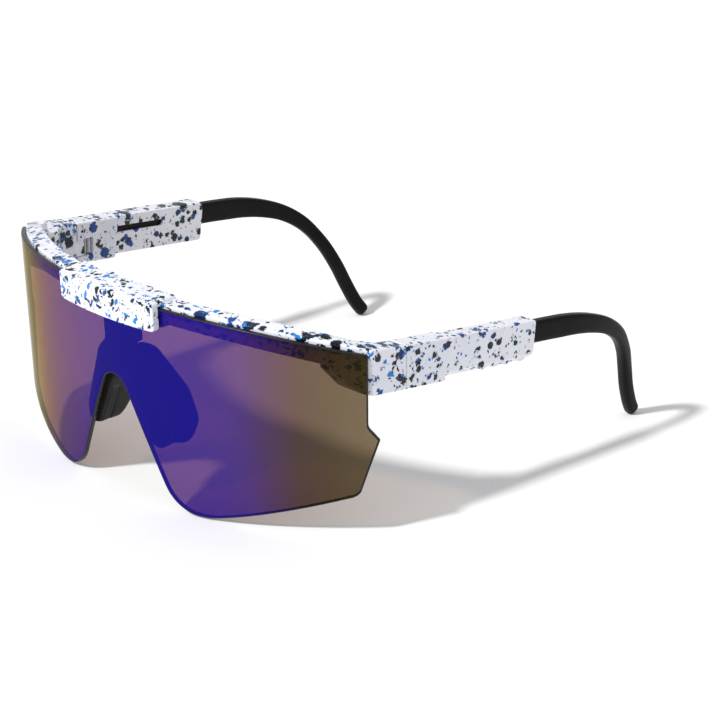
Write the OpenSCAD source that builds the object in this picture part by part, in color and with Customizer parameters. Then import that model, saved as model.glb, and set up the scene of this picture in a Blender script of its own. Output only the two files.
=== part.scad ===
// Wraparound sport sunglasses: a one-piece shield lens under a brow frame, with hollow folding temples
// in which the ear arms slide. Millimetres. +Z up, front towards -Y, the wearer's left is +X.
// Origin: on the resting surface, under the middle of the whole object. It stands on the two lens lobes
// and the two ear tips.

/* [Lens] */
// Radius of the lens's front surface
lens_radius = 102.6; // [98:0.2:108]
// Half of the lens's straight width at its top corners
lens_half_width = 70; // [66:0.5:74]
// Height of the lens from lobe to brow at the centre
lens_height = 58.6; // [54:0.2:62]
// Lens thickness
lens_thickness = 1.4; // [1.2:0.1:2]
// How much lower the top edge is at the corners
brow_drop = 7.8; // [5:0.2:10]
// Rake of the lens: its top leans forward by this angle, in degrees
lens_rake = 3.9; // [2:0.1:6]
// Radius of the nose notch's arch
notch_radius = 5; // [4:0.2:6]
// Height at which the notch's two sides would meet in a point
notch_peak = 41.9; // [40:0.1:44]
// Slant of the notch's sides from the vertical, in degrees
notch_slant = 25.4; // [23:0.2:28]

/* [Brow frame] */
// Depth of the brow bar, front to back, over the lens
bar_depth = 6.4; // [5.5:0.1:7.5]
// Height of the bar behind the lens at the centre
bar_height = 4.5; // [4:0.1:6]
// How far the bar stands above the lens's top edge
bar_above = 0.9; // [0.5:0.1:1.6]
// Half of the centre block's width
block_half_width = 18.8; // [16:0.2:22]
// Height of the centre block's front face
block_height = 8.2; // [7:0.1:9]
// How far the centre block stands out in front of the lens
block_proud = 2.2; // [1.6:0.1:3]

/* [Temples] */
// Distance of the temples' outer faces from the middle
temple_x = 69.7; // [69.2:0.1:70.2]
// Slope of the temples down to the rear, in degrees
temple_slope = 6.2; // [5:0.1:7]
// Width of the sleeve
sleeve_width = 5.2; // [5:0.1:6]
// Height of the sleeve
sleeve_height = 11.2; // [10.8:0.1:12]
// Width of the hinge block at the front of the temple
hinge_block_width = 6.2; // [6:0.1:7]
// Distance from the hinge pin to the sleeve's rear end
sleeve_end = 44.1; // [42:0.1:48]
// Length of the slot in the inner cover
slot_length = 17.5; // [14:0.5:20]

/* [Hinge] */
// Hinge pin's distance from the middle
pin_x = 65.2; // [65:0.1:65.4]
// Hinge pin's distance behind the lens's front
pin_y = 41; // [40.5:0.1:41.5]
// Radius of the hinge pin
pin_r = 0.65; // [0.5:0.05:0.7]
// Height of the frame's hinge hook
hook_height = 5; // [4.5:0.1:5.2]

/* [Arms] */
// Height of the sliding arm
arm_height = 6.2; // [5.8:0.1:6.4]
// Thickness of the sliding arm
arm_thickness = 3.3; // [3:0.1:3.4]

/* [Hidden] */
$fn = 96;

white = [0.95, 0.96, 0.98];
rubber = [0.06, 0.06, 0.065];
steel = [0.62, 0.62, 0.64];
mirror_tint = [0.28, 0.18, 0.62, 0.55];

gap = 0.1;                                  // general clearance between fixed neighbours
slide_gap = 0.13;                           // clearance round the sliding arm
rear_y = 141.6;                             // rearmost point of the ear hooks, from the lens's front
front_y = -7.4;                             // front of the centre block
mid_y = (rear_y + front_y) / 2;             // the origin's place along the object
lens_base_y = -1.3;                         // foot of the lens, where its own frame starts
lens_base_z = -0.2;

hinge_gap = 0.1;                            // between the temple's butt face and the frame
butt_y = 37;                                // rear face of the frame's corner blocks
arm_z = 46.9;                               // height of the arm's centre line at the hinge pin
block_end = 11;                             // end of the hinge block, behind the pin
block_below = 0.75;                         // how far the hinge block hangs below the sleeve
arm_above = 4;                              // sleeve's top above the arm's centre line
hook_bottom = 41;                           // underside of the frame's hinge hook
hook_r = 1.7;                               // outer radius of the hinge hook
hook_web = 1.4;                             // half width of the web that carries the hook
cover_thickness = 0.9;
outer_wall = 0.75;                          // sleeve's outer wall
slider_rear = 38;                           // where the stiff tongue ends and the rubber starts
slot_width = 1.8;
stud_r = 0.8;
core_half = [1.1, 0.5];                     // half height and half thickness of the arm's metal core

// ---- helpers ----

// Points of a corner at b, between a and c, rounded to radius r
function round_corner(a, b, c, r, n = 10) =
  let (u = (a - b) / norm(a - b), v = (c - b) / norm(c - b))
  let (half = acos(u * v) / 2, turn = 180 - 2 * half, side = sign(u.x * v.y - u.y * v.x))
  let (centre = b + (u + v) / norm(u + v) * r / sin(half), start = b + u * r / tan(half) - centre)
  [for (i = [0 : n]) let (t = -side * turn * i / n)
    centre + [start.x * cos(t) - start.y * sin(t), start.x * sin(t) + start.y * cos(t)]];

// Closed outline from corners given as [x, y, radius]
function rounded(p) = [for (i = [0 : len(p) - 1])
  let (a = p[(i + len(p) - 1) % len(p)], b = p[i], c = p[(i + 1) % len(p)])
  each b.z > 0 ? round_corner([a.x, a.y], [b.x, b.y], [c.x, c.y], b.z) : [[b.x, b.y]]];

function flip(p) = [for (i = [len(p) - 1 : -1 : 0]) [-p[i].x, p[i].y, p[i].z]];

module row() { translate([0, -mid_y, 0]) children(); }

// The lens's own frame: x across, y back from its front, z up along its raked face
module lens_frame() { row() translate([0, lens_base_y, lens_base_z]) rotate([lens_rake, 0, 0]) children(); }

// The temple's own frame on the left side: y back along the arm from the hinge pin, z from the arm's centre
module temple_frame() { row() translate([0, pin_y, arm_z]) rotate([-temple_slope, 0, 0]) children(); }

module on_side(side) { if (side == "right") mirror([1, 0, 0]) children(); else children(); }

// Plate cut from an outline in x and z, from the front (y0) to the back (y1)
module upright(y0, y1) { translate([0, y1, 0]) rotate([90, 0, 0]) linear_extrude(y1 - y0) children(); }

// Block from x0 to x1 cut from an outline in y and z
module sideways(x0, x1) {
  translate([x0, 0, 0]) rotate([90, 0, 90]) linear_extrude(x1 - x0) children();
}

// Curved wall concentric with the lens, between two distances behind the lens's front surface
module lens_shell(front, back, bottom = -5, top = 70) {
  translate([0, lens_radius, bottom]) difference() {
    cylinder(r = lens_radius - front, h = top - bottom, $fn = 240);
    translate([0, 0, -1]) cylinder(r = lens_radius - back, h = top - bottom + 2, $fn = 240);
  }
}

// ---- lens ----

// Height of the lens's top edge
function lens_top(x) = lens_height - brow_drop * pow(abs(x) / lens_half_width, 2.6);
// Height of the lower edge outside the lobe
lobe_x = 27.5;
lower_end = [64, 10];
function lens_bottom(x) = lower_end.y * pow((x - lobe_x) / (lower_end.x - lobe_x), 1.25);
lobe_corner = [notch_peak * tan(notch_slant), 0, 12];

lens_side = concat(
  [lobe_corner],
  [for (x = [lobe_x + 3 : 4 : lower_end.x]) [x, lens_bottom(x), 0]],
  [[67, 11, 3.2], [71.5, 26.9, 0.4], [69.35, 30.6, 3], [lens_half_width, lens_top(lens_half_width), 0.6]],
  [for (x = [66 : -6 : 6]) [x, lens_top(x), 0]]
);
lens_outline = rounded(concat(
  [[0, notch_peak, notch_radius]], lens_side, [[0, lens_height, 0]], flip(lens_side)
));

module shield_lens() {
  color(mirror_tint) lens_frame() intersection() {
    upright(-5, 40) polygon(lens_outline);
    lens_shell(0, lens_thickness);
  }
}

// ---- brow frame ----

bar_end = temple_x - 0.25;
bar_start = 0.8;                            // front of the bar before the lens's room is cut from it
function bar_top(x) = lens_top(x) + bar_above;
function bar_bottom(x) = lens_top(x) - bar_height - 1.6 * pow(abs(x) / lens_half_width, 2);
bar_steps = [for (i = [-12 : 12]) bar_end * i / 12];
bar_outline = concat(
  [for (x = bar_steps) [x, bar_bottom(x)]],
  [for (i = [len(bar_steps) - 1 : -1 : 0]) [bar_steps[i], bar_top(bar_steps[i])]]
);
block_top = lens_height + 2;
block_outline = rounded([
  [-block_half_width, block_top - block_height, 1], [block_half_width, block_top - block_height, 1],
  [block_half_width, block_top, 1], [-block_half_width, block_top, 1]
]);
nose_plug = [10, 2.2, 3];                   // plug of the nose bridge: width, depth, height
nose_plug_y = 6;                            // middle of the plug, behind the lens's front
carrier_half_width = 9;                     // thick part of the bar over the nose plug
carrier_depth = 8.4;

// Room for the lens: closed above it in the centre block, and open upwards on both sides, where the lens
// stands free in front of the bar
module lens_room() {
  side = block_half_width - 0.3;
  upright(-20, 60) polygon(concat(
    [[-78, 75], [-side, 75]], [for (i = [-5 : 5]) let (x = side * i / 5) [x, lens_top(x) + gap]],
    [[side, 75], [78, 75], [78, -10], [-78, -10]]
  ));
}

corner_plan = [[temple_x, 18], [temple_x, butt_y], [temple_x - hinge_block_width, butt_y],
  [temple_x - hinge_block_width, 31], [58.5, 26.6], [57, 18]];
corner_top = 4;                             // from the arm's centre line, in the temple's frame

// Side outline of the corner block, in the temple's frame: it sweeps down from the bar to the full height
corner_outline = rounded([
  [-30, corner_top + 1, 0], [butt_y - pin_y, corner_top, 0], [6, corner_top, 0],
  [6, arm_above - sleeve_height - block_below, 0],
  [-16.6, arm_above - sleeve_height - block_below, 1.5], [-24, -1.2, 3], [-30, 0.8, 0]
]);

// All that is above the slanted facet in which the bar runs out into the temple
module above_corner() {
  row() translate([temple_x, 22.4, 53.6]) rotate([0, 12.3, 43.8])
    translate([-80, -80, 0]) cube([160, 160, 30]);
}

module corner_block() {
  intersection() {
    row() linear_extrude(60) polygon(corner_plan);
    temple_frame() sideways(40, 80) polygon(corner_outline);
    lens_frame() translate([0, lens_radius, -5]) cylinder(r = lens_radius - 1, h = 75, $fn = 240);
  }
}

// Open hook that grips the hinge pin from the front; its mouth looks inwards
module hinge_hook() {
  row() translate([0, 0, hook_bottom + gap]) difference() {
    linear_extrude(hook_height - 2 * gap) difference() {
      union() {
        translate([pin_x, pin_y]) circle(r = hook_r);
        translate([pin_x - hook_web, butt_y - 1]) square([2 * hook_web, pin_y - butt_y + 1]);
      }
      translate([pin_x, pin_y])
        polygon([[0, 0], [-4, -3.2], [-4, 3.2]]);
    }
    translate([pin_x, pin_y, -1]) cylinder(r = pin_r + 0.04, h = hook_height + 2);
  }
}

module brow_frame() {
  color(white) difference() {
    union() {
      lens_frame() intersection() {
        upright(-5, 45) polygon(bar_outline);
        lens_shell(bar_start, bar_depth);
      }
      lens_frame() intersection() {
        upright(-8, 20) polygon(block_outline);
        lens_shell(-block_proud, bar_depth - 0.3);
      }
      lens_frame() intersection() {
        translate([-carrier_half_width, 0, block_top - block_height + 0.6])
          cube([2 * carrier_half_width, 20, block_height - 1.4]);
        lens_shell(bar_depth - 1, carrier_depth);
      }
      corner_block();
      mirror([1, 0, 0]) corner_block();
      hinge_hook();
      mirror([1, 0, 0]) hinge_hook();
    }
    lens_frame() intersection() {
      lens_room();
      lens_shell(-gap, lens_thickness + gap);
    }
    above_corner();
    mirror([1, 0, 0]) above_corner();
    lens_frame() translate([-nose_plug.x / 2, nose_plug_y - nose_plug.y / 2, 40])
      cube([nose_plug.x, nose_plug.y, block_top - block_height + nose_plug.z - 40]);
  }
}

// ---- nose piece ----

nose_front = lens_thickness + 0.6;          // front of the wishbone, behind the lens's front surface
nose_back = nose_front + 3;
// Outline of the wishbone in the lens's frame
nose_half = [
  [0, 36.4, 4.5], [9.6, 17.4, 2], [15.6, 15.6, 2.5], [16, 21, 5], [8.5, 40, 6], [5, 43.6, 2], [5, 52.3, 0]
];
wishbone = rounded(concat(nose_half, flip([for (i = [1 : len(nose_half) - 1]) nose_half[i]])));
// Stamped metal strip inside the wishbone: outline in the lens's frame, seen from the front
strip_front = 3.6;                          // behind the lens's front surface
strip_back = 4.3;
strip_foot = 16.6;                          // height of its two ends
strip_top = [6, 41.4];                      // its upper corners
strip_width = [0.9, 1.3];                   // width of its legs and of its bridge
strip_lean = 0.328;                         // run of the legs to their rise
function strip_leg(x, top, foot) = [x + (top - foot) * strip_lean, foot, 0];
function strip_half(foot) = let (in = strip_top - strip_width) [
  [strip_top.x, strip_top.y, 2], strip_leg(strip_top.x, strip_top.y, foot),
  strip_leg(in.x, in.y, foot), [in.x, in.y, 1]
];
function strip_outline(foot) = rounded(concat(strip_half(foot), flip(strip_half(foot))));

module nose_bridge() {
  color(rubber) lens_frame() difference() {
    union() {
      intersection() {
        upright(0, 20) polygon(wishbone);
        lens_shell(nose_front, nose_back);
      }
      translate([-nose_plug.x / 2, 3, 44]) cube([nose_plug.x, nose_plug_y + nose_plug.y / 2 - 3, 8]);
      translate([-nose_plug.x / 2, nose_plug_y - nose_plug.y / 2, 44])
        cube([nose_plug.x, nose_plug.y, block_top - block_height + nose_plug.z - 44]);
    }
    // Slot for the strip, open at the feet of both legs
    upright(strip_front - 0.03, strip_back + 0.03)
      offset(delta = 0.03) polygon(strip_outline(strip_foot - 6));
  }
}

module nose_core() {
  color(steel) lens_frame() upright(strip_front, strip_back) polygon(strip_outline(strip_foot));
}

pad_thickness = 2.3;
pad_tilt = 21;                              // follows the notch's side
pad_flare = 16;                             // opens towards the face
// Leaf outline of a nose pad: y back from the wishbone, z up along the pad from its foot
pad_outline = rounded([
  [0, 1.5, 1.5], [7, -1.2, 4], [11.6, 4, 5], [11.4, 13, 8], [6, 27, 6], [1.5, 29.5, 2], [0, 28, 0.5]
]);
pad_foot = [13.4, 5.6, 15.6];               // where the pad's lower front corner is, in the lens's frame

module nose_pad(side) {
  color(rubber) lens_frame() on_side(side) difference() {
    translate(pad_foot) rotate([0, -pad_tilt, 0]) rotate([0, 0, -pad_flare])
      sideways(-pad_thickness, 0) polygon(pad_outline);
    lens_shell(-2, nose_back);
  }
}

// ---- temples ----

knuckle_r = pin_y - butt_y - hinge_gap;     // the knuckle's front, round the pin
inner_x = temple_x - hinge_block_width;     // inner face of the hinge block
sleeve_x = temple_x - sleeve_width;         // inner face of the sleeve
cover_x = sleeve_x + cover_thickness;       // where the cover meets the shell
shell_bottom = arm_above - sleeve_height;
arm_x = temple_x - outer_wall - slide_gap - arm_thickness / 2;
cavity_half = arm_height / 2 + slide_gap;
bump_r = 2.1;
bump_places = [25.2, 29.6, 34, 39.6];       // middles of the scallops, behind the pin
chamfer = 1.7;                              // outer lower edge of the sleeve

// Hinge block seen from above, about the pin: square outside, round inside so that it can turn
module hinge_plan() {
  translate([pin_x, pin_y]) union() {
    intersection() {
      circle(r = knuckle_r);
      translate([inner_x - pin_x, -10]) square([pin_x - inner_x, 12]);
    }
    translate([0, -knuckle_r]) square([temple_x - pin_x, 20]);
    translate([inner_x - pin_x, 0]) square([pin_x - inner_x, 20]);
  }
}

// Room that the hook and its web sweep as the temple folds
module hook_room() {
  translate([pin_x, pin_y, hook_bottom]) linear_extrude(hook_height) union() {
    circle(r = hook_r + 0.2);
    translate([-10, -10]) square([10 + hook_web + 0.3, 10]);
    polygon([[0, 0], [-10, 0], [-10, 4.5], [-1.9, hook_r + 0.2], [0, hook_r + 0.2]]);
  }
}

shell_outline = rounded([
  [block_end - 1, arm_above, 0], [block_end - 1, shell_bottom, 0], [sleeve_end, shell_bottom, 3.5],
  [sleeve_end, arm_above, 0.8]
]);
block_side = rounded([
  [-8, arm_above, 0], [-8, shell_bottom - block_below, 0], [block_end, shell_bottom - block_below, 0.8],
  [block_end, arm_above, 0]
]);

module temple_shell(side) {
  color(white) on_side(side) difference() {
    union() {
      row() difference() {
        intersection() {
          linear_extrude(60) hinge_plan();
          translate([0, pin_y, arm_z]) rotate([-temple_slope, 0, 0]) sideways(40, 80) polygon(block_side);
        }
        hook_room();
      }
      temple_frame() difference() {
        sideways(cover_x, temple_x) polygon(shell_outline);
        // Chamfer along the lower outer edge, which the scallops fill again
        translate([temple_x, block_end, shell_bottom]) rotate([-90, 0, 0])
          linear_extrude(60) polygon([[1, 1], [-chamfer, 1], [-chamfer, 0], [0, -chamfer], [1, -chamfer]]);
      }
      temple_frame() for (u = bump_places)
        translate([cover_x + 0.3, u, shell_bottom + bump_r + 0.15]) rotate([0, 90, 0])
          cylinder(r = bump_r, h = temple_x - cover_x - 0.55);
    }
    temple_frame() translate([cover_x - 5, block_end + 0.1, -cavity_half])
      cube([5 + temple_x - outer_wall - cover_x, 60, 2 * cavity_half]);
    row() translate([pin_x, pin_y, 30]) cylinder(r = pin_r, h = 20.2);
  }
}

module temple_cover(side) {
  color(white) on_side(side) temple_frame() difference() {
    sideways(sleeve_x, cover_x) polygon(rounded([
      [block_end, arm_above, 0], [block_end, shell_bottom, 0], [sleeve_end, shell_bottom, 1],
      [sleeve_end, arm_above, 1]
    ]));
    for (u = [slot_width / 2, slot_length - slot_width / 2])
      translate([sleeve_x - 1, block_end + 0.5 + u, 0])
        rotate([0, 90, 0]) cylinder(r = slot_width / 2, h = 3);
    translate([sleeve_x - 1, block_end + 0.5 + slot_width / 2, -slot_width / 2])
      cube([3, slot_length - slot_width, slot_width]);
  }
}

module hinge_pin(side) {
  color(steel) on_side(side) row() translate([pin_x, pin_y, 39.6]) cylinder(r = pin_r, h = 10.6);
}

// ---- arms ----

// Centre line of the arm and ear hook, from inside the sleeve to the tip: x, y from the lens's front, z
function on_arm(u) = [arm_x, pin_y + u * cos(temple_slope), arm_z - u * sin(temple_slope)];
hook_path = [
  on_arm(slider_rear), on_arm(sleeve_end), on_arm(52), [67, 102, 40], [66.4, 110, 38],
  [65.3, 117.5, 35], [63.6, 124, 30.4], [61.2, 129, 24], [58.9, 132.4, 17.2], [57.2, 135, 10.6],
  [56, 137.6, 5], [55.2, 139.6, 1.9]
];
path_steps = 3;                             // rings between two points of the path
ring_sides = 16;

function catmull(a, b, c, d, t) =
  0.5 * ((2 * b) + (c - a) * t + (2 * a - 5 * b + 4 * c - d) * t * t + (3 * b - a - 3 * c + d) * t * t * t);
path_last = len(hook_path) - 1;
function path_at(s) =
  let (i = min(floor(s), path_last - 1), t = s - i)
  let (a = hook_path[max(i - 1, 0)], b = hook_path[i], c = hook_path[i + 1])
  let (d = hook_path[min(i + 2, path_last)])
  catmull(a, b, c, d, t);
function unit(v) = v / norm(v);
function direction(s) = unit(path_at(min(s + 0.05, path_last)) - path_at(max(s - 0.05, 0)));

// Half height and half thickness of the rubber arm: a flat bar that turns into a rounder hook
function slim(s) = min(max((s - 2.5) / 4, 0), 1);
function arm_half(s) = [arm_height / 2 - 1.15 * slim(s), arm_thickness / 2 + 0.15 * slim(s)];
function corner_power(s) = 5 - 2.2 * slim(s);

// Ring of points round the path, shaped from a rounded bar to an oval
function ring(s, half, power) =
  let (t = direction(s), side = unit([1, 0, 0] - t.x * t), up = cross(t, side))
  [for (i = [0 : ring_sides - 1]) let (a = 360 * i / ring_sides + 180 / ring_sides)
    let (c = cos(a), n = sin(a), k = pow(pow(abs(c), power) + pow(abs(n), power), -1 / power))
    path_at(s) + side * half.y * c * k + up * half.x * n * k];

// Faces between ring j and ring j + 1, seen from outside
function wall_faces(j) = [for (i = [0 : ring_sides - 1])
  let (n = ring_sides, a = j * n + i, b = j * n + (i + 1) % n)
  each [[a, a + n, b], [b, a + n, b + n]]];
function cap_face(j) = [for (i = [0 : ring_sides - 1]) j * ring_sides + i];
function turned(faces) = [for (f = faces) [for (i = [len(f) - 1 : -1 : 0]) f[i]]];

module sweep(rings) {
  m = len(rings);
  polyhedron(
    points = [for (r = rings) each r],
    faces = concat([cap_face(0)], turned([cap_face(m - 1)]), [for (j = [0 : m - 2]) each wall_faces(j)])
  );
}

// The same, hollow and open at its first ring, over the inner rings
module hollow_sweep(outer, inner) {
  m = len(outer);
  k = len(inner);
  n = ring_sides;
  polyhedron(
    points = [for (r = concat(outer, inner)) each r],
    faces = concat(
      turned([cap_face(m - 1)]),
      [cap_face(m + k - 1)],
      [for (j = [0 : m - 2]) each wall_faces(j)],
      turned([for (j = [m : m + k - 2]) each wall_faces(j)]),
      [for (i = [0 : n - 1]) let (a = i, b = (i + 1) % n, c = m * n + i, d = m * n + (i + 1) % n)
        each [[a, b, c], [b, d, c]]]
    )
  );
}

// The tip closes over the last ring in a rounded end
tip_rings = [[0, 1], [0.55, 0.93], [1.05, 0.74], [1.4, 0.42]];
function tip_ring(k) =
  let (t = direction(path_last), half = arm_half(path_last) * k[1])
  [for (p = ring(path_last, half, corner_power(path_last))) p + t * k[0]];

core_root = 8;                              // how far the core reaches into the stiff tongue
core_steps = 20;
core_to = path_last - 0.6;
core_rings = [for (i = [0 : core_steps]) ring(core_to * i / core_steps, core_half, 4)];
sock_rings = concat(
  [for (i = [0 : path_last * path_steps - 1]) let (s = i / path_steps)
    ring(s, arm_half(s), corner_power(s))],
  [for (k = tip_rings) tip_ring(k)]
);

module ear_sock(side) {
  color(rubber) on_side(side) row() hollow_sweep(sock_rings, core_rings);
}

module arm_core(side) {
  back = direction(0) * core_root;
  color(steel) on_side(side) row() sweep(concat([[for (p = core_rings[0]) p - back]], core_rings));
}

core_gap = 0.05;
module arm_slider(side) {
  color(rubber) on_side(side) difference() {
    temple_frame() sideways(arm_x - arm_thickness / 2, arm_x + arm_thickness / 2) polygon(rounded([
      [block_end + 0.4, arm_height / 2, 1], [block_end + 0.4, -arm_height / 2, 1],
      [slider_rear, -arm_height / 2, 0], [slider_rear, arm_height / 2, 0]
    ]));
    temple_frame()
      translate([arm_x - core_half.y - core_gap, slider_rear - core_root - 0.2, -core_half.x - core_gap])
      cube([2 * (core_half.y + core_gap), core_root + 1, 2 * (core_half.x + core_gap)]);
    stud_shape();
  }
}

stud_place = block_end + 0.5 + slot_width / 2 + 0.2;
module stud_shape() {
  temple_frame() translate([sleeve_x + 0.15, stud_place, 0]) rotate([0, 90, 0])
    cylinder(r = stud_r, h = arm_x - sleeve_x + 0.4);
}

module slide_stud(side) { color(rubber) on_side(side) stud_shape(); }

brow_frame();
shield_lens();
nose_bridge();
nose_core();
nose_pad("left");  // nose_pad_left
nose_pad("right");  // nose_pad_right
hinge_pin("left");  // hinge_pin_left
hinge_pin("right");  // hinge_pin_right
temple_shell("left");  // temple_shell_left
temple_shell("right");  // temple_shell_right
temple_cover("left");  // temple_cover_left
temple_cover("right");  // temple_cover_right
arm_slider("left");  // arm_slider_left
arm_slider("right");  // arm_slider_right
slide_stud("left");  // slide_stud_left
slide_stud("right");  // slide_stud_right
arm_core("left");  // arm_core_left
arm_core("right");  // arm_core_right
ear_sock("left");  // ear_sock_left
ear_sock("right");  // ear_sock_right
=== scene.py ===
# Wraparound sport sunglasses: the visible surfaces, materials and studio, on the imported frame.
import math
import bmesh
import bpy
import numpy as np
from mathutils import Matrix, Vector
from mathutils.geometry import delaunay_2d_cdt


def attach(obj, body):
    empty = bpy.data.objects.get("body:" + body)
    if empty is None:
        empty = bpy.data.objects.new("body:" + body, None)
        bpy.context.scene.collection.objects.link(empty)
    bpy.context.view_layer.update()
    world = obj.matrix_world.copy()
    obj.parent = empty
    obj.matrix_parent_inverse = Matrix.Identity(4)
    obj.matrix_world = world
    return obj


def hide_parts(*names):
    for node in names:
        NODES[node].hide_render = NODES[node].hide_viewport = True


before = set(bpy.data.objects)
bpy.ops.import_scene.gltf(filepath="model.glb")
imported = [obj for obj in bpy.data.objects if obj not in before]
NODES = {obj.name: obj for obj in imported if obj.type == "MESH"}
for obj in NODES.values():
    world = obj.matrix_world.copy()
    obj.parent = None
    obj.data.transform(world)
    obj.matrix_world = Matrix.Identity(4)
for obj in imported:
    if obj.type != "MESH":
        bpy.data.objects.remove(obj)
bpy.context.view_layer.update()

SIDES = {"left": 1, "right": -1}

# Lengths are in mm, as in the CAD, and turn into metres in row_point and lens_point
MM = 0.001
MID = 67.1                  # distance of the row frame's origin behind the lens's front
RADIUS = 102.6              # lens's front surface
THICK = 1.4                 # lens
RAKE = math.radians(3.9)    # the lens's top leans forward
LENS_Y, LENS_Z = -1.3, -0.2                 # origin of the lens's own frame
HALF_WIDTH, HEIGHT, DROP = 70.0, 58.6, 7.8  # lens's top corners, its middle, and how much lower the corners are
PEAK, PEAK_RADIUS = 41.9, 5.0               # nose notch
NOTCH_SLANT = math.radians(25.4)
RIM_RADIUS = 0.32                           # rounding of the lens's cut edge
SLOPE = math.radians(6.2)                   # the temples go down to the rear
PIN_Y, SLEEVE_Z = 41, 46.9                  # hinge pin, and the height of the sleeve's axis there


# ---------------------------------------------------------------- geometry helpers

def lens_point(x, back, h):
    """A point of the lens's own frame to the row frame."""
    y = LENS_Y + back * math.cos(RAKE) - h * math.sin(RAKE)
    z = LENS_Z + back * math.sin(RAKE) + h * math.cos(RAKE)
    return row_point(x, y, z)


def row_point(x, y, z):
    """A point of the CAD's frame to the row frame."""
    return Vector((x, y - MID, z)) * MM


def on_lens(x, depth, h):
    """The point straight behind the front surface's point at x, along the lens's radius."""
    x = x * (RADIUS - depth) / RADIUS
    return lens_point(x, RADIUS - math.sqrt((RADIUS - depth) ** 2 - x * x), h)


def new_object(name, verts, faces, material, smooth=True):
    """A linked mesh object with one material."""
    mesh = bpy.data.meshes.new(name)
    mesh.from_pydata([tuple(v) for v in verts], [], faces)
    mesh.validate()
    mesh.update()
    obj = bpy.data.objects.new(name, mesh)
    bpy.context.scene.collection.objects.link(obj)
    mesh.materials.append(material)
    for p in mesh.polygons:
        p.use_smooth = smooth
    return obj


def outward(obj):
    """Turns every face's normal outwards."""
    bm = bmesh.new()
    bm.from_mesh(obj.data)
    bmesh.ops.recalc_face_normals(bm, faces=bm.faces)
    bm.to_mesh(obj.data)
    bm.free()


def round_corner(a, b, c, r, n):
    """The corner at b, between a and c, as an arc of radius r in n steps."""
    a, b, c = (np.array(p, float) for p in (a, b, c))
    u, v = (a - b) / np.linalg.norm(a - b), (c - b) / np.linalg.norm(c - b)
    half = math.acos(float(u @ v)) / 2
    turn = math.pi - 2 * half
    side = np.sign(u[0] * v[1] - u[1] * v[0])
    centre = b + (u + v) / np.linalg.norm(u + v) * r / math.sin(half)
    start = b + u * r / math.tan(half) - centre
    out = []
    for i in range(n + 1):
        t = -side * turn * i / n
        out.append((centre[0] + start[0] * math.cos(t) - start[1] * math.sin(t),
                    centre[1] + start[0] * math.sin(t) + start[1] * math.cos(t)))
    return out


def rounded(points, n=10):
    """A closed outline from corners given as (x, y, radius)."""
    out = []
    for i, (x, y, r) in enumerate(points):
        a, c = points[i - 1], points[(i + 1) % len(points)]
        out += round_corner(a[:2], (x, y), c[:2], r, n) if r > 0 else [(x, y)]
    return out


def resample(loop, step):
    """The same closed loop with points at most a step apart."""
    out = []
    for i, p in enumerate(loop):
        q = loop[(i + 1) % len(loop)]
        d = math.dist(p, q)
        if d < 1e-6:
            continue
        k = max(1, math.ceil(d / step))
        out += [(p[0] + (q[0] - p[0]) * j / k, p[1] + (q[1] - p[1]) * j / k) for j in range(k)]
    return out


def inset(loop, d):
    """The loop moved inwards by d. The loop runs anticlockwise."""
    n = len(loop)
    out = []
    for i in range(n):
        a, b, c = (np.array(loop[j % n]) for j in (i - 1, i, i + 1))
        u, v = b - a, c - b
        nu = np.array((-u[1], u[0])) / max(np.linalg.norm(u), 1e-9)
        nv = np.array((-v[1], v[0])) / max(np.linalg.norm(v), 1e-9)
        m = nu + nv
        m = m / max(np.linalg.norm(m), 1e-6)
        out.append(tuple(b + m * d / max(float(m @ nu), 0.5)))
    return out


def area(loop):
    """The loop's area, positive when it runs anticlockwise."""
    return 0.5 * sum(p[0] * q[1] - q[0] * p[1] for p, q in zip(loop, loop[1:] + loop[:1]))


def anticlockwise(loop):
    return loop if area(loop) > 0 else loop[::-1]


def strip(a, b):
    """Quads between two closed rings of vertex numbers."""
    n = len(a)
    return [(a[i], a[(i + 1) % n], b[(i + 1) % n], b[i]) for i in range(n)]


def softened(node, name, voxel, passes, material):
    """A moulded copy of a CAD node: remeshed finely, then relaxed, so that edges and inner corners are rounded."""
    bm = bmesh.new()
    bm.from_mesh(NODES[node].data)
    bmesh.ops.remove_doubles(bm, verts=bm.verts, dist=2e-6)
    mesh = bpy.data.meshes.new(name)
    bm.to_mesh(mesh)
    bm.free()
    obj = bpy.data.objects.new(name, mesh)
    bpy.context.scene.collection.objects.link(obj)
    mesh.materials.clear()
    mesh.materials.append(material)
    remesh = obj.modifiers.new("remesh", "REMESH")
    remesh.mode = "VOXEL"
    remesh.voxel_size = voxel * MM
    remesh.use_smooth_shade = True
    relax = obj.modifiers.new("relax", "SMOOTH")
    relax.factor = 0.5
    relax.iterations = passes
    return obj


# ---------------------------------------------------------------- material helpers

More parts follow.
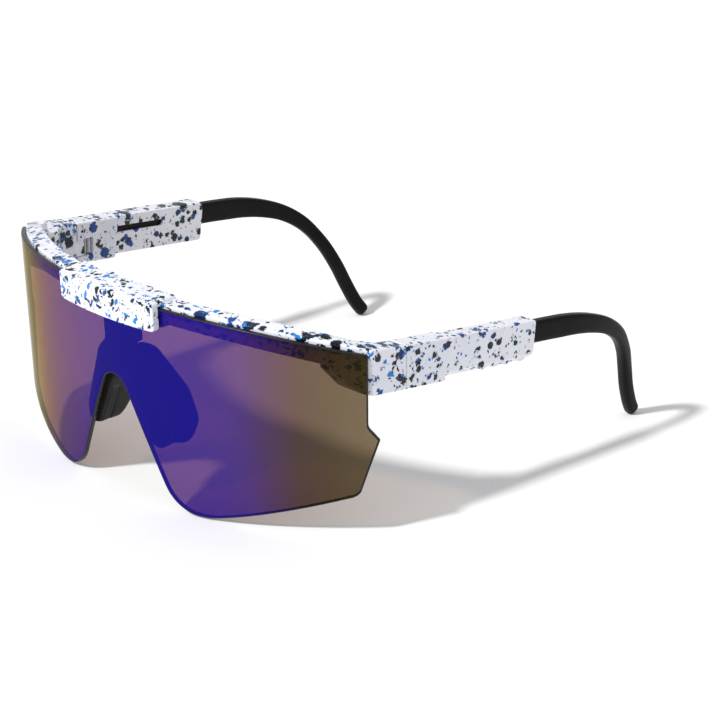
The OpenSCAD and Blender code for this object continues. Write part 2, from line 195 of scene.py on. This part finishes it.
class Nodes:
    """Small helper that builds a material's node tree."""

    def __init__(self, name):
        self.mat = bpy.data.materials.new(name)
        self.mat.use_nodes = True
        self.tree = self.mat.node_tree
        self.tree.nodes.clear()

    def add(self, kind, **props):
        n = self.tree.nodes.new(kind)
        for k, v in props.items():
            setattr(n, k, v)
        return n

    def put(self, node, socket, value):
        s = node.inputs[socket]
        if isinstance(value, bpy.types.NodeSocket):
            self.tree.links.new(value, s)
        else:
            s.default_value = value

    def math(self, op, a, b=None):
        n = self.add("ShaderNodeMath", operation=op)
        self.put(n, 0, a)
        if b is not None:
            self.put(n, 1, b)
        return n.outputs[0]

    def place(self):
        """The point on the object, in metres."""
        return self.add("ShaderNodeTexCoord").outputs["Object"]

    def vec(self, op, a, b):
        n = self.add("ShaderNodeVectorMath", operation=op)
        self.put(n, 0, a)
        self.put(n, 1, b)
        return n.outputs[0]

    def scaled(self, a, factor):
        n = self.add("ShaderNodeVectorMath", operation="SCALE")
        self.put(n, 0, a)
        n.inputs["Scale"].default_value = factor
        return n.outputs[0]

    def away_from_middle(self, vector):
        """The distance from the mirror plane."""
        n = self.add("ShaderNodeSeparateXYZ")
        self.put(n, 0, vector)
        return self.math("ABSOLUTE", n.outputs[0])

    def wobble(self, vector, scale, detail, rough, by):
        """The point moved by up to half of `by`, so that outlines drawn from it are uneven."""
        noise = self.vec("SUBTRACT", self.noise(vector, scale, detail, rough, "Color"), (0.5, 0.5, 0.5))
        return self.scaled(noise, by)

    def noise(self, vector, scale, detail=3.0, rough=0.5, out="Fac"):
        n = self.add("ShaderNodeTexNoise")
        self.put(n, "Vector", vector)
        self.put(n, "Scale", scale)
        self.put(n, "Detail", detail)
        self.put(n, "Roughness", rough)
        return n.outputs[out]

    def cells(self, vector, scale):
        """Voronoi cells: the distance to each cell's middle, and the cell's random colour."""
        n = self.add("ShaderNodeTexVoronoi", feature="F1")
        self.put(n, "Vector", vector)
        self.put(n, "Scale", scale)
        return n.outputs["Distance"], n.outputs["Color"]

    def split(self, colour):
        n = self.add("ShaderNodeSeparateColor")
        self.put(n, 0, colour)
        return n.outputs

    def ramp(self, fac, stops, interpolation="LINEAR"):
        n = self.add("ShaderNodeValToRGB")
        n.color_ramp.interpolation = interpolation
        el = n.color_ramp.elements
        while len(el) > 1:
            el.remove(el[-1])
        el[0].position, el[0].color = stops[0][0], (*stops[0][1], 1)
        for pos, col in stops[1:]:
            e = el.new(pos)
            e.color = (*col, 1)
        self.put(n, 0, fac)
        return n.outputs[0]

    def spread(self, value, lo, hi, to_lo, to_hi):
        n = self.add("ShaderNodeMapRange")
        for i, v in enumerate((value, lo, hi, to_lo, to_hi)):
            self.put(n, i, v)
        return n.outputs[0]

    def mix(self, fac, a, b):
        n = self.add("ShaderNodeMix", data_type="RGBA")
        self.put(n, 0, fac)
        self.put(n, 6, a)       # sockets 6 and 7 and output 2 are the colour ones
        self.put(n, 7, b)
        return n.outputs[2]

    def bump(self, height, strength, distance):
        n = self.add("ShaderNodeBump")
        self.put(n, "Strength", strength)
        self.put(n, "Distance", distance)
        self.put(n, "Height", height)
        return n.outputs[0]

    def principled(self, **values):
        n = self.add("ShaderNodeBsdfPrincipled")
        for k, v in values.items():
            self.put(n, k.replace("_", " "), v)
        return n

    def see_through(self, shader, tint, share):
        """The shader with a clear tint over it, by a share of 0 to 1."""
        clear = self.add("ShaderNodeBsdfTransparent")
        self.put(clear, "Color", tint)
        mix = self.add("ShaderNodeMixShader")
        mix.inputs[0].default_value = share
        self.tree.links.new(shader, mix.inputs[1])
        self.tree.links.new(clear.outputs[0], mix.inputs[2])
        return mix.outputs[0]

    def finish(self, shader):
        out = self.add("ShaderNodeOutputMaterial")
        self.tree.links.new(shader, out.inputs[0])
        return self.mat


INK = (0.003, 0.003, 0.005)
BROWN = (0.016, 0.008, 0.008)
TEAL = (0.006, 0.020, 0.030)
NAVY = (0.005, 0.021, 0.105)
ROYAL = (0.006, 0.058, 0.260)
AZURE = (0.009, 0.200, 0.620)
DEEP = [(0.0, NAVY), (0.26, INK), (0.58, BROWN), (0.74, TEAL), (0.84, ROYAL)]
BRIGHT = [(0.0, ROYAL), (0.14, AZURE), (0.48, INK), (0.70, NAVY), (0.86, BROWN)]
HALO = [(0.0, (0.42, 0.60, 0.80)), (0.35, (0.40, 0.62, 0.66)), (0.6, (0.74, 0.76, 0.86))]
PAINT_EDGE = 0.06           # half of a drop's soft edge, mm

# Drops: cell size, smallest and largest radius and halo's width in mm, the share of cells that hold one,
# and its colours
LARGE = dict(cell=4.2, radii=(0.7, 2.2), share=0.56, hues=DEEP, halo=0.8, offset=(3.1, 7.7, 1.3))
MEDIUM = dict(cell=2.3, radii=(0.35, 1.1), share=0.82, hues=DEEP, halo=0.45, offset=(11.0, 2.2, 5.5))
SPECKS = dict(cell=1.35, radii=(0.15, 0.45), share=0.62, hues=BRIGHT, halo=0.2, offset=(1.7, 4.9, 9.1))
# Streaks: the same on cells that are turned and drawn out, so each has a turn and its stretch along X, Y and Z
LONG = [
    ((0.5, 0.3, 0.9), (1, 1, 0.22),
     dict(cell=3.4, radii=(0.12, 0.42), share=0.33, hues=DEEP, offset=(5, 1, 2))),
    ((1.9, 0.2, 2.3), (1, 1, 0.16),
     dict(cell=4.2, radii=(0.10, 0.32), share=0.35, hues=DEEP, offset=(8, 3, 6)))]
SHORT = [
    ((0.0, 0.55, 0.0), (1, 0.7, 0.42),
     dict(cell=1.5, radii=(0.28, 0.62), share=0.80, hues=BRIGHT, offset=(2, 6, 4))),
    ((0.25, -0.60, 0.0), (1, 0.6, 0.45),
     dict(cell=2.1, radii=(0.32, 0.80), share=0.66, hues=BRIGHT, offset=(7, 3, 8))),
    ((0.0, 0.2, 0.35), (0.34, 0.9, 1.0),
     dict(cell=1.6, radii=(0.22, 0.62), share=0.72, hues=BRIGHT, offset=(9, 2, 1)))]


def drops(m, colour, paint, vector, cell, radii, share, hues, offset, halo=0.2, mask=None):
    """Adds one size of drops to the colour, and to the mask of what is painted."""
    dist, random = m.cells(m.vec("ADD", vector, offset), 1.0 / cell)
    for_size, for_place, for_hue = m.split(random)[:3]
    small, large = radii
    radius = m.math("MULTIPLY", m.math("POWER", for_size, 1.3), (large - small) / cell)
    radius = m.math("ADD", radius, small / cell)
    there = m.math("LESS_THAN", for_place, share)
    if mask is not None:
        there = m.math("MULTIPLY", there, mask)
    past_edge = m.math("SUBTRACT", dist, radius)
    drop = m.math("MULTIPLY", m.spread(past_edge, -PAINT_EDGE / cell, PAINT_EDGE / cell, 1.0, 0.0), there)
    ring = m.spread(past_edge, 0.0, halo / cell, 1.0, 0.0)
    ring = m.math("MULTIPLY", m.math("MULTIPLY", ring, ring), there)
    if paint is not None:
        ring = m.math("MULTIPLY", ring, m.math("SUBTRACT", 1.0, paint))
    colour = m.mix(m.math("MULTIPLY", ring, 0.5), colour, m.ramp(for_hue, HALO, "CONSTANT"))
    colour = m.mix(drop, colour, m.ramp(for_hue, hues, "CONSTANT"))
    return colour, drop if paint is None else m.math("MAXIMUM", paint, drop)


def streaks(m, colour, paint, vector, kinds, mask=None):
    """Adds long thin drops of several kinds."""
    for turn, stretch, kind in kinds:
        mp = m.add("ShaderNodeMapping", vector_type="TEXTURE")
        m.put(mp, "Vector", vector)
        mp.inputs["Rotation"].default_value = turn
        mp.inputs["Scale"].default_value = tuple(1.0 / k for k in stretch)
        colour, paint = drops(m, colour, paint, mp.outputs[0], mask=mask, **kind)
    return colour, paint


def splatter(name, has_block):
    """Glossy white moulding with drops and streaks of black, navy and azure paint under a clear coat."""
    m = Nodes(name)
    p = m.scaled(m.place(), 1000.0)         # in mm
    q = m.vec("ADD", p, m.wobble(p, 0.9, 2.0, 0.6, 1.7))
    q = m.vec("ADD", q, m.wobble(p, 3.2, 1.0, 0.5, 0.4))
    cloud = m.spread(m.noise(p, 0.06, 2.0, 0.5), 0.35, 0.65, 0.0, 1.0)
    colour = m.mix(cloud, (0.76, 0.77, 0.85, 1), (0.82, 0.825, 0.88, 1))

    # The centre block has no large drops, few medium ones at its ends, and a crowd of short bright streaks
    clear_of_block = clear_of_ends = None
    if has_block:
        ax = m.away_from_middle(p)
        clear_of_block = m.math("GREATER_THAN", ax, 26.0)
        uneven = m.math("ADD", ax, m.math("MULTIPLY", m.noise(p, 0.3, 1.0), 24.0))
        clear_of_ends = m.math("GREATER_THAN", uneven, 30.0)
    colour, paint = drops(m, colour, None, q, mask=clear_of_block, **LARGE)
    colour, paint = drops(m, colour, paint, q, mask=clear_of_ends, **MEDIUM)
    colour, paint = drops(m, colour, paint, q, **SPECKS)
    colour, paint = streaks(m, colour, paint, q, LONG)
    if has_block:
        near = m.math("MULTIPLY", m.spread(ax, 20.0, 34.0, 1.0, 0.0), 0.5)
        crowd = m.math("GREATER_THAN", m.math("ADD", m.noise(p, 0.16, 1.0, 0.5), near), 0.52)
        colour, paint = streaks(m, colour, paint, q, SHORT, crowd)

    rough = m.spread(m.noise(p, 0.35, 4.0, 0.6), 0.3, 0.75, 0.16, 0.30)
    rough = m.math("ADD", rough, m.math("MULTIPLY", paint, -0.05))
    ripple = m.math("MULTIPLY", m.noise(p, 0.8, 2.0, 0.5), 0.45)
    height = m.math("ADD", m.math("MULTIPLY", paint, 0.55), ripple)
    bsdf = m.principled(Base_Color=colour, Roughness=rough, IOR=1.5, Coat_Weight=0.1, Coat_Roughness=0.08)
    bsdf.inputs["Specular IOR Level"].default_value = 0.22
    m.put(bsdf, "Normal", m.bump(height, 0.35, 0.00006))
    return m.finish(bsdf.outputs[0])


# Lens colours, from the middle (0) to 72 mm out (1)
MIRROR = [
    (0.00, (0.022, 0.018, 0.420)), (0.40, (0.024, 0.018, 0.420)), (0.50, (0.026, 0.018, 0.400)),
    (0.60, (0.030, 0.016, 0.310)), (0.70, (0.030, 0.014, 0.140)), (0.79, (0.022, 0.014, 0.035)),
    (0.88, (0.022, 0.019, 0.012)), (1.0, (0.036, 0.034, 0.014))]
FRONT_TINT = [
    (0.0, (0.50, 0.28, 0.15)), (0.45, (0.54, 0.30, 0.16)), (0.65, (0.54, 0.34, 0.21)),
    (0.85, (0.56, 0.44, 0.32)), (1.0, (0.60, 0.49, 0.36))]
BACK_TINT = [(0.0, (0.74, 0.62, 0.52)), (1.0, (0.74, 0.66, 0.57))]
RAMP_END = 0.072


def lens_material(name, inner):
    """One face of the smoke lens: a clear tint, and on the front a mirror coat from blue-violet to bronze."""
    m = Nodes(name)
    place = m.place()
    ax = m.math("MULTIPLY", m.away_from_middle(place), 1.0 / RAMP_END)
    ax = m.math("ADD", ax, m.spread(m.noise(place, 22.0, 1.0, 0.4), 0.3, 0.7, -0.03, 0.03))
    haze = m.noise(place, 45.0, 3.0, 0.5)
    if inner:
        bsdf = m.principled(Base_Color=(0.02, 0.017, 0.015, 1), IOR=1.5)
        m.put(bsdf, "Roughness", m.spread(haze, 0.3, 0.7, 0.05, 0.08))
        return m.finish(m.see_through(bsdf.outputs[0], m.ramp(ax, BACK_TINT), 0.88))
    bsdf = m.principled(Base_Color=m.ramp(ax, MIRROR), Metallic=1.0)
    bsdf.inputs["Specular Tint"].default_value = (0.84, 0.73, 0.33, 1.0)
    m.put(bsdf, "Roughness", m.spread(haze, 0.3, 0.7, 0.05, 0.09))
    return m.finish(m.see_through(bsdf.outputs[0], m.ramp(ax, FRONT_TINT), 0.45))


def edge_material(name):
    """Cut rim of the lens: dark smoke plastic with fine tool lines."""
    m = Nodes(name)
    n = m.noise(m.place(), 900.0, 3.0, 0.6)
    colour = m.mix(n, (0.005, 0.005, 0.006, 1), (0.018, 0.015, 0.018, 1))
    bsdf = m.principled(Base_Color=colour, IOR=1.5)
    bsdf.inputs["Specular IOR Level"].default_value = 0.25
    m.put(bsdf, "Roughness", m.spread(n, 0.3, 0.7, 0.2, 0.4))
    m.put(bsdf, "Normal", m.bump(n, 0.25, 0.00005))
    return m.finish(bsdf.outputs[0])


def rubber(name, base, grain):
    """Matte black rubber with a fine moulded grain and a little dust."""
    m = Nodes(name)
    v = m.place()
    speck = m.noise(v, grain, 4.0, 0.7)
    cloud = m.noise(v, 90.0, 4.0, 0.6)
    dark = tuple(0.75 * c for c in base) + (1,)
    light = tuple(1.5 * c for c in base) + (1,)
    colour = m.mix(m.spread(cloud, 0.3, 0.7, 0.0, 1.0), dark, light)
    dust = m.spread(m.noise(v, 1900.0, 2.0, 0.5), 0.68, 0.80, 0.0, 0.35)
    colour = m.mix(dust, colour, (0.03, 0.03, 0.03, 1))
    bsdf = m.principled(Base_Color=colour, IOR=1.45)
    bsdf.inputs["Specular IOR Level"].default_value = 0.085
    m.put(bsdf, "Roughness", m.spread(cloud, 0.3, 0.7, 0.27, 0.38))
    m.put(bsdf, "Normal", m.bump(speck, 0.45, 0.00006))
    return m.finish(bsdf.outputs[0])


def metal(name, base, rough, lines):
    """Drawn metal: fine lines, set by a stretch along X, Y and Z, and slight stains."""
    m = Nodes(name)
    place = m.place()
    mp = m.add("ShaderNodeMapping")
    m.put(mp, "Vector", place)
    mp.inputs["Scale"].default_value = lines
    line = m.noise(mp.outputs[0], 400.0, 3.0, 0.6)
    stain = m.spread(m.noise(place, 260.0, 3.0, 0.6), 0.35, 0.7, 0.0, 0.6)
    colour = m.mix(stain, base + (1,), tuple(0.55 * c for c in base) + (1,))
    bsdf = m.principled(Base_Color=colour, Metallic=1.0)
    m.put(bsdf, "Roughness", m.spread(line, 0.3, 0.7, rough, rough + 0.18))
    m.put(bsdf, "Normal", m.bump(line, 0.3, 0.00003))
    return m.finish(bsdf.outputs[0])


SPLATTER_FRAME = splatter("splatter_frame", True)
SPLATTER_TEMPLE = splatter("splatter_temple", False)
LENS_FRONT = lens_material("lens_mirror", False)
LENS_BACK = lens_material("lens_smoke", True)
LENS_EDGE = edge_material("lens_edge")
WISHBONE = rubber("nose_wishbone", (0.012, 0.012, 0.013), 2600.0)
NOSE_RUBBER = rubber("nose_rubber", (0.0060, 0.0060, 0.0062), 2600.0)
ARM_RUBBER = rubber("arm_rubber", (0.0058, 0.0058, 0.0060), 2200.0)
SLIDER = rubber("slider_plastic", (0.010, 0.010, 0.011), 3200.0)
PIN = metal("pin_steel", (0.42, 0.38, 0.37), 0.28, (1.0, 1.0, 12.0))
CORE = metal("core_metal", (0.62, 0.62, 0.63), 0.3, (1.0, 6.0, 1.0))


# ---------------------------------------------------------------- lens

def lens_top(x):
    return HEIGHT - DROP * (abs(x) / HALF_WIDTH) ** 2.6


def lens_loop():
    """The lens's outline: nose notch, lobe, lower edge, corner notch and top edge, then the same mirrored."""
    side = [(PEAK * math.tan(NOTCH_SLANT), 0.0, 12.0)]
    side += [(x, 10.0 * ((x - 27.5) / 36.5) ** 1.25, 0.0) for x in np.arange(30.5, 64.0, 1.0)]
    side += [(67.0, 11.0, 3.2), (71.5, 26.9, 0.4), (69.35, 30.6, 3.0), (HALF_WIDTH, lens_top(HALF_WIDTH), 0.6)]
    side += [(x, lens_top(x), 0.0) for x in np.arange(68.0, 1.0, -2.0)]
    other = [(-x, y, r) for x, y, r in reversed(side)]
    return rounded([(0.0, PEAK, PEAK_RADIUS)] + side + [(0.0, lens_top(0.0), 0.0)] + other)


def triangulated(loop, step):
    """The loop filled with a regular net of points, for a smooth curved surface."""
    pts = [Vector(p) for p in loop]
    arr = np.array(loop)
    nxt = np.roll(arr, -1, 0)
    (x0, y0), (x1, y1) = arr.min(0), arr.max(0)
    for gx in np.arange(x0 + step, x1, step):
        for gy in np.arange(y0 + step, y1, step):
            cross = (arr[:, 1] > gy) != (nxt[:, 1] > gy)
            with np.errstate(divide="ignore", invalid="ignore"):
                xi = arr[:, 0] + (gy - arr[:, 1]) / (nxt[:, 1] - arr[:, 1]) * (nxt[:, 0] - arr[:, 0])
            inside = np.sum(cross & (gx < xi)) % 2
            if inside and np.min(np.hypot(arr[:, 0] - gx, arr[:, 1] - gy)) > 0.45 * step:
                pts.append(Vector((gx, gy)))
    out = delaunay_2d_cdt(pts, [], [list(range(len(loop)))], 1, 1e-5)
    return [tuple(v) for v in out[0]], [tuple(f) for f in out[2]]


def make_lens():
    """Front and back faces on their two curved surfaces, joined by a rounded rim."""
    loop = anticlockwise(resample(lens_loop(), 0.8))
    inner = inset(loop, RIM_RADIUS)
    flat, tris = triangulated(inner, 2.0)
    verts, faces, slots = [], [], []
    for slot, depth in enumerate((0.0, THICK)):
        base = len(verts)
        verts += [on_lens(x, depth, h) for x, h in flat]
        faces += [tuple(base + i for i in t) for t in tris]
        slots += [slot] * len(tris)
    front = [min(range(len(flat)), key=lambda j: math.dist(flat[j], p)) for p in inner]
    rings = [front]
    angles = [math.pi / 2 * i / 3 for i in (1, 2, 3)]
    profile = [(RIM_RADIUS * (1 - math.sin(a)), RIM_RADIUS * (1 - math.cos(a))) for a in angles]
    profile += [(off, THICK - depth) for off, depth in reversed(profile)]
    for off, depth in profile:
        rings.append(list(range(len(verts), len(verts) + len(loop))))
        verts += [on_lens(x, depth, h) for x, h in inset(loop, off)]
    rings.append([len(flat) + k for k in front])
    for a, b in zip(rings, rings[1:]):
        faces += strip(a, b)
        slots += [2] * len(loop)
    lens = new_object("lens", verts, faces, LENS_FRONT)
    lens.data.materials.append(LENS_BACK)
    lens.data.materials.append(LENS_EDGE)
    lens.data.polygons.foreach_set("material_index", slots)
    outward(lens)
    return lens


lens = make_lens()
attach(lens, "frame")
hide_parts("shield_lens")


# ---------------------------------------------------------------- frame, temples and nose

brow = softened("brow_frame", "brow", 0.24, 5, SPLATTER_FRAME)
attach(brow, "frame")
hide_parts("brow_frame")

bridge = softened("nose_bridge", "nose_wishbone", 0.26, 9, WISHBONE)
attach(bridge, "frame")
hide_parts("nose_bridge")

for side in SIDES:
    shell = softened(f"temple_shell_{side}", f"shell_{side}", 0.2, 5, SPLATTER_TEMPLE)
    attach(shell, f"temple_{side}")
    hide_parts(f"temple_shell_{side}")
    cover = softened(f"temple_cover_{side}", f"cover_{side}", 0.16, 3, SPLATTER_TEMPLE)
    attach(cover, f"temple_{side}")
    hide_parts(f"temple_cover_{side}")


# ---------------------------------------------------------------- nose pads

PAD_THICK = 2.3
PAD_TILT, PAD_FLARE = math.radians(21), math.radians(16)
PAD_FOOT = (13.4, 5.6, 15.6)        # lower corner, in the lens's frame
PAD_CORNERS = [(0, 1.5, 1.5), (7, -1.2, 4), (11.6, 4, 5), (11.4, 13, 8), (6, 27, 6), (1.5, 29.5, 2), (0, 28, 0.5)]
# Rim: how far in from the outline, and how deep, as a share of half the thickness
PAD_RIM = ((1.0, 0.06), (0.45, 0.22), (0.12, 0.6))
CROWN_WIDTH = 2.5


def make_pad(side, sign):
    """A leaf with two crowned faces and a soft rim."""
    loop = anticlockwise(resample(rounded(PAD_CORNERS, 8), 0.6))
    half = PAD_THICK / 2
    verts, faces, rings = [], [], []

    def place(t, u, v):
        """t across the pad, u back from the wishbone, v up along the pad."""
        x, y = t * math.cos(PAD_FLARE) + u * math.sin(PAD_FLARE), u * math.cos(PAD_FLARE) - t * math.sin(PAD_FLARE)
        x, z = x * math.cos(PAD_TILT) - v * math.sin(PAD_TILT), x * math.sin(PAD_TILT) + v * math.cos(PAD_TILT)
        return lens_point(sign * (PAD_FOOT[0] + x), PAD_FOOT[1] + y, PAD_FOOT[2] + z)

    def ring(off, t):
        rings.append(list(range(len(verts), len(verts) + len(loop))))
        verts.extend(place(t, u, v) for u, v in (inset(loop, off) if off else loop))

    for off, depth in PAD_RIM:
        ring(off, -PAD_THICK + depth * half)
    ring(0.0, -half)
    for off, depth in reversed(PAD_RIM):
        ring(off, -depth * half)
    for a, b in zip(rings, rings[1:]):
        faces += strip(a, b)

    # Caps from a net of points, which meet the rim's first and last rings and rise a little inside them
    inner = inset(loop, PAD_RIM[0][0])
    flat, tris = triangulated(inner, 1.0)
    for level, inwards, rim in ((-PAD_THICK, 1, rings[0]), (0.0, -1, rings[-1])):
        ids = []
        for p in flat:
            k = min(range(len(loop)), key=lambda j: math.dist(p, inner[j]))
            d = math.dist(p, inner[k])
            if d < 1e-3:
                ids.append(rim[k])
                continue
            sink = PAD_RIM[0][1] * half * max(0.0, 1 - d / CROWN_WIDTH) ** 2
            ids.append(len(verts))
            verts.append(place(level + inwards * sink, p[0], p[1]))
        faces += [tuple(ids[i] for i in t) for t in tris if len({ids[i] for i in t}) == 3]
    pad = new_object(f"pad_{side}", verts, faces, NOSE_RUBBER)
    outward(pad)
    return pad


for side, sign in SIDES.items():
    pad = make_pad(side, sign)
    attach(pad, "frame")
    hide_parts(f"nose_pad_{side}")


# ---------------------------------------------------------------- ear arms

ARM_X = 67.17
ARM_HALF = (3.1, 1.65)              # half height and half thickness in the sleeve
HOOK_GROWTH = (-1.15, 0.15)         # how much each changes by the hook
FLAT_POWER, HOOK_POWER = 5, 2.8     # section: a rounded bar in the sleeve, an oval at the hook
SKIN = 0.995                        # the drawn arm lies just inside the CAD solid
ARM_SIDES, ARM_STEPS = 44, 12       # points round a ring, and rings between two points of the path
# Soft tip: how far past the path's end, and the section's scale
TIP = ((0, SKIN), (0.3, 0.975), (0.6, 0.92), (0.88, 0.83), (1.12, 0.70), (1.3, 0.5), (1.38, 0.3))


def on_sleeve(u):
    """The point of the sleeve's axis at u behind the hinge pin."""
    return (ARM_X, PIN_Y + u * math.cos(SLOPE), SLEEVE_Z - u * math.sin(SLOPE))


PATH = [on_sleeve(38), on_sleeve(44.1), on_sleeve(52), (67, 102, 40), (66.4, 110, 38), (65.3, 117.5, 35),
        (63.6, 124, 30.4), (61.2, 129, 24), (58.9, 132.4, 17.2), (57.2, 135, 10.6), (56, 137.6, 5),
        (55.2, 139.6, 1.9)]
LAST = len(PATH) - 1


def path_at(s):
    """The smooth curve through the path's points, at s points from its start."""
    i = min(int(math.floor(s)), LAST - 1)
    t = s - i
    a, b, c, d = (np.array(PATH[min(max(k, 0), LAST)], float) for k in (i - 1, i, i + 1, i + 2))
    return 0.5 * (2 * b + (c - a) * t + (2 * a - 5 * b + 4 * c - d) * t * t + (3 * b - a - 3 * c + d) * t ** 3)


def unit(v):
    return v / np.linalg.norm(v)


def arm_ring(sign, s, scale, ahead):
    """The points of one ring round the path."""
    along = unit(path_at(min(s + 0.05, LAST)) - path_at(max(s - 0.05, 0)))
    across = unit(np.array((1.0, 0, 0)) - along[0] * along)
    up = np.cross(along, across)
    hooked = min(max((s - 2.5) / 4, 0), 1)
    half_height, half_thick = ((h + g * hooked) * scale for h, g in zip(ARM_HALF, HOOK_GROWTH))
    power = FLAT_POWER + (HOOK_POWER - FLAT_POWER) * hooked
    base = path_at(s) + along * ahead
    points = []
    for i in range(ARM_SIDES):
        a = 2 * math.pi * (i + 0.5) / ARM_SIDES
        c, n = math.cos(a), math.sin(a)
        k = (abs(c) ** power + abs(n) ** power) ** (-1 / power)
        p = base + across * half_thick * c * k + up * half_height * n * k
        points.append(row_point(sign * p[0], p[1], p[2]))
    return points


def make_sock(side, sign):
    """Rubber arm: a flat bar that turns into a rounder hook with a soft tip."""
    rings = [arm_ring(sign, i / ARM_STEPS, SKIN, 0.0) for i in range(LAST * ARM_STEPS)]
    rings += [arm_ring(sign, LAST, scale, ahead) for ahead, scale in TIP]
    ids = [list(range(j * ARM_SIDES, (j + 1) * ARM_SIDES)) for j in range(len(rings))]
    faces = [face for a, b in zip(ids, ids[1:]) for face in strip(a, b)]
    faces += [tuple(ids[0]), tuple(ids[-1])]
    sock = new_object(f"sock_{side}", [p for ring in rings for p in ring], faces, ARM_RUBBER)
    sock.data.polygons[len(faces) - 2].use_smooth = False       # the flat end inside the sleeve
    outward(sock)
    return sock


for side, sign in SIDES.items():
    sock = make_sock(side, sign)
    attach(sock, f"arm_{side}")
    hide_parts(f"ear_sock_{side}")


# ---------------------------------------------------------------- carried-over CAD nodes

def finish_node(node, material):
    """Gives a CAD node that stays visible its material."""
    for slot in NODES[node].material_slots:
        slot.material = material


for side in SIDES:
    finish_node(f"hinge_pin_{side}", PIN)
    finish_node(f"arm_slider_{side}", SLIDER)
    finish_node(f"slide_stud_{side}", SLIDER)
    finish_node(f"arm_core_{side}", CORE)
finish_node("nose_core", CORE)


# ---------------------------------------------------------------- studio

FLOOR_SIZE, FLOOR_CELLS, FLOOR_Z = 3.0, 24, -0.00002
SUN_DIRECTION = (0.02, 1.04, -1.0)


def make_floor():
    """A plain pale floor."""
    n = FLOOR_CELLS
    at = [FLOOR_SIZE * (i / n - 0.5) for i in range(n + 1)]
    verts = [(x, y, FLOOR_Z) for x in at for y in at]
    corners = [i * (n + 1) + j for i in range(n) for j in range(n)]
    faces = [(a, a + n + 1, a + n + 2, a + 1) for a in corners]
    m = Nodes("floor")
    colour = m.mix(m.noise(m.place(), 3.0, 3.0, 0.5), (0.88, 0.88, 0.88, 1), (0.90, 0.90, 0.90, 1))
    bsdf = m.principled(Base_Color=colour, Roughness=0.85)
    bsdf.inputs["Specular IOR Level"].default_value = 0.1
    floor = new_object("floor", verts, faces, m.finish(bsdf.outputs[0]), smooth=False)


def make_lights():
    """A pale surround and one soft key light from high in front, which throws the shadow back."""
    world = bpy.data.worlds.new("studio")
    bpy.context.scene.world = world
    world.use_nodes = True
    bg = world.node_tree.nodes["Background"]
    bg.inputs["Color"].default_value = (0.97, 0.98, 1.0, 1)
    bg.inputs["Strength"].default_value = 0.6
    sun = bpy.data.lights.new("key", "SUN")
    sun.energy = 3.0
    sun.angle = math.radians(5.5)
    sun.color = (1.0, 0.99, 0.97)
    key = bpy.data.objects.new("key", sun)
    bpy.context.scene.collection.objects.link(key)
    key.rotation_euler = Vector(SUN_DIRECTION).to_track_quat("-Z", "Y").to_euler()


def make_camera():
    data = bpy.data.cameras.new("camera")
    data.sensor_width = 36.0
    data.lens = 195.6
    data.clip_end = 10.0
    cam = bpy.data.objects.new("camera", data)
    bpy.context.scene.collection.objects.link(cam)
    cam.location = (0.7446, -0.6893, 0.4117)
    cam.rotation_euler = (math.radians(68.89), 0.0, math.radians(46.41))
    bpy.context.scene.camera = cam


make_floor()
make_lights()
make_camera()
bpy.context.scene.view_settings.view_transform = "Standard"
bpy.context.scene.view_settings.look = "None"
